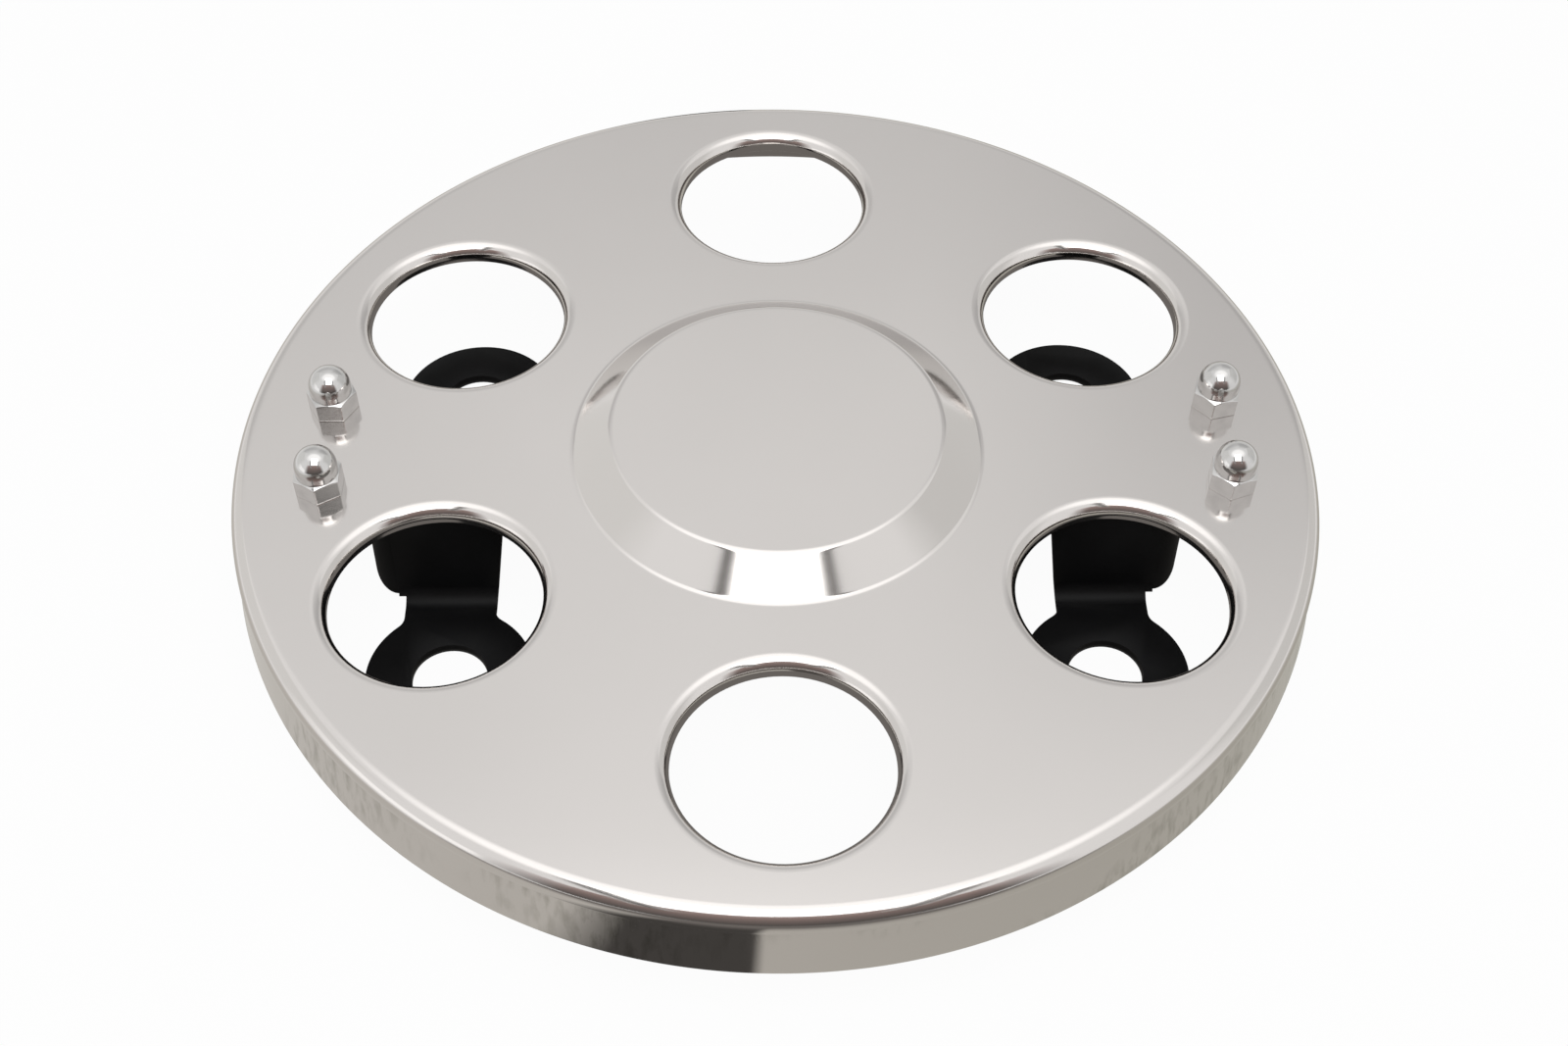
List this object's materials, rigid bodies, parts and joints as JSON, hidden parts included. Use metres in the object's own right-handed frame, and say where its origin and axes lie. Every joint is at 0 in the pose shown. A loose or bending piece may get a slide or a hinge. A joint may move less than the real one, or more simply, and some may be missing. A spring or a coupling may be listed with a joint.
{
  "type": "wheel cover",
  "caption": "Round polished steel wheel cover with a raised middle boss, flanged hand holes over the wheel studs, and black saddle brackets bolted on behind with domed nuts.",
  "frame": {"origin": "the wheel's axis, on the plane where the bracket ears sit on the wheel", "axes": "+Z along the wheel's axis away from the wheel, +X towards the right bracket, -Y towards the viewer of the picture"},
  "size_m": [0.322, 0.322, 0.057],
  "materials": {
    "polished_steel": "mirror polished stainless steel",
    "black_paint": "satin black paint over steel",
    "bright_plating": "bright plated steel",
    "zinc_steel": "zinc plated steel"
  },
  "bodies": {
    "root": {"cover_disc": "polished_steel", "right_bracket": "black_paint", "left_bracket": "black_paint", "acorn_nuts": "bright_plating", "bracket_bolts": "zinc_steel"}
  },
  "joints": []
}
